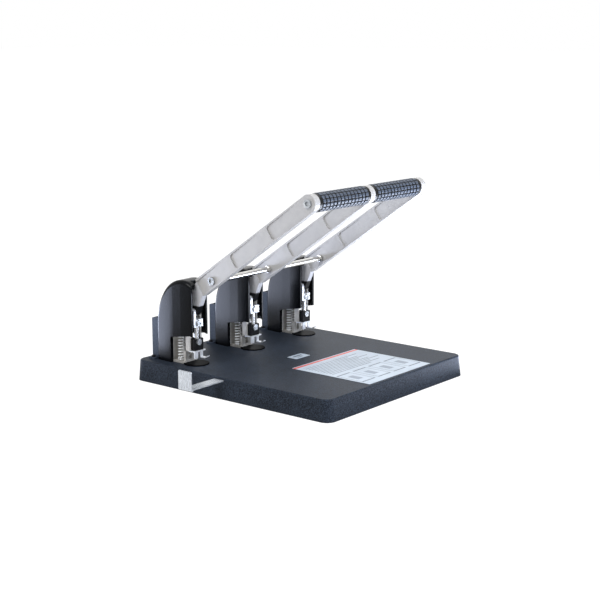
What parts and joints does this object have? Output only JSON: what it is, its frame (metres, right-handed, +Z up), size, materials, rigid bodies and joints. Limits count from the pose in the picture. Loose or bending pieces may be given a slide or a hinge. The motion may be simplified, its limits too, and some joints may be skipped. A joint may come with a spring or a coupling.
{
  "type": "hole punch",
  "caption": "Heavy-duty desk paper punch: three punching heads in a row on a flat base, worked together by one long padded handle, with a pull-out side stop.",
  "frame": {"origin": "on the underside of the rubber mat that rests on the table, below the middle head's centre plane and 77 mm ahead of the line through the punches", "axes": "+X to the user's right, -Y towards the user, +Z up"},
  "size_m": [0.3465, 0.3155, 0.258],
  "materials": {
    "base_paint": "charcoal fine-textured paint",
    "cover_gloss": "glossy black moulding",
    "lever_paint": "silver-grey satin paint",
    "zinc": "zinc plated, satin",
    "nickel": "nickel plated, bright",
    "guide_black": "black, satin",
    "disc_black": "black, smooth",
    "grip_rubber": "slate grey, moulded pads",
    "mat_rubber": "matt",
    "spring_steel": "bright wire",
    "tool_steel": "ground, bright",
    "black_screw": "black oxide",
    "label_film": "printed film, satin"
  },
  "bodies": {
    "base_unit": {"base": "base_paint", "bottom_plate": "zinc", "rubber_mat": "mat_rubber", "bottom_screws": "zinc", "stop_guide": "zinc", "instruction_label": "label_film", "small_label": "label_film", "back_screws": "black_screw", "paper_stops": "zinc", "guide_screws": "nickel", "pivot_pins": "tool_steel", "cover_left": "cover_gloss", "back_plate_left": "base_paint", "head_frame_left": "zinc", "spring_seat_left": "zinc", "punch_guide_left": "guide_black", "return_springs_left": "spring_steel", "paper_stripper_left": "zinc", "cover_middle": "cover_gloss", "back_plate_middle": "base_paint", "head_frame_middle": "zinc", "spring_seat_middle": "zinc", "punch_guide_middle": "guide_black", "return_springs_middle": "spring_steel", "paper_stripper_middle": "zinc", "cover_right": "cover_gloss", "back_plate_right": "base_paint", "head_frame_right": "zinc", "spring_seat_right": "zinc", "punch_guide_right": "guide_black", "return_springs_right": "spring_steel", "paper_stripper_right": "zinc"},
    "lever": {"cross_rod": "nickel", "handle_rod": "nickel", "rod_collars": "nickel", "rod_screws": "nickel", "grip_left": "grip_rubber", "grip_right": "grip_rubber", "lever_arm_left": "lever_paint", "lever_hub_left": "tool_steel", "lever_arm_middle": "lever_paint", "lever_hub_middle": "tool_steel", "lever_arm_right": "lever_paint", "lever_hub_right": "tool_steel"},
    "side_stop": {"side_stop": "zinc"},
    "carrier_unit_left": {"carrier_left": "zinc", "drive_pin_left": "tool_steel", "clamp_screw_left": "nickel", "punch_left": "tool_steel"},
    "disc_left": {"cutting_disc_left": "disc_black"},
    "carrier_unit_middle": {"carrier_middle": "zinc", "drive_pin_middle": "tool_steel", "clamp_screw_middle": "nickel", "punch_middle": "tool_steel"},
    "disc_middle": {"cutting_disc_middle": "disc_black"},
    "carrier_unit_right": {"carrier_right": "zinc", "drive_pin_right": "tool_steel", "clamp_screw_right": "nickel", "punch_right": "tool_steel"},
    "disc_right": {"cutting_disc_right": "disc_black"}
  },
  "joints": [
    {"name": "lever_pivot", "type": "hinge", "parent": "base_unit", "child": "lever", "pos_m": [0, 0.1, 0.0875], "axis": [1, 0, 0], "range_deg": [0, 36], "stiffness_Nm_per_rad": 2.6, "springref_deg": -57.3},
    {"name": "side_stop_slide", "type": "slide", "parent": "base_unit", "child": "side_stop", "axis": [1, 0, 0], "range_m": [0, 0.056]},
    {"name": "carrier_left_slide", "type": "slide", "parent": "base_unit", "child": "carrier_unit_left", "axis": [0, 0, -1], "range_m": [-0.0001, 0.01505], "deforming": ["return_springs_left"]},
    {"name": "disc_left_turn", "type": "hinge", "parent": "base_unit", "child": "disc_left", "pos_m": [-0.108, 0.077, 0.0271], "axis": [0, 0, 1], "continuous": true},
    {"name": "carrier_middle_slide", "type": "slide", "parent": "base_unit", "child": "carrier_unit_middle", "axis": [0, 0, -1], "range_m": [-0.0001, 0.01505], "deforming": ["return_springs_middle"]},
    {"name": "disc_middle_turn", "type": "hinge", "parent": "base_unit", "child": "disc_middle", "pos_m": [0, 0.077, 0.0271], "axis": [0, 0, 1], "continuous": true},
    {"name": "carrier_right_slide", "type": "slide", "parent": "base_unit", "child": "carrier_unit_right", "axis": [0, 0, -1], "range_m": [-0.0001, 0.01505], "deforming": ["return_springs_right"]},
    {"name": "disc_right_turn", "type": "hinge", "parent": "base_unit", "child": "disc_right", "pos_m": [0.108, 0.077, 0.0271], "axis": [0, 0, 1], "continuous": true}
  ],
  "couplings": [
    {"joint": "carrier_left_slide", "follows": "lever_pivot", "m_per_rad": 0.023788},
    {"joint": "carrier_middle_slide", "follows": "lever_pivot", "m_per_rad": 0.023788},
    {"joint": "carrier_right_slide", "follows": "lever_pivot", "m_per_rad": 0.023788}
  ]
}
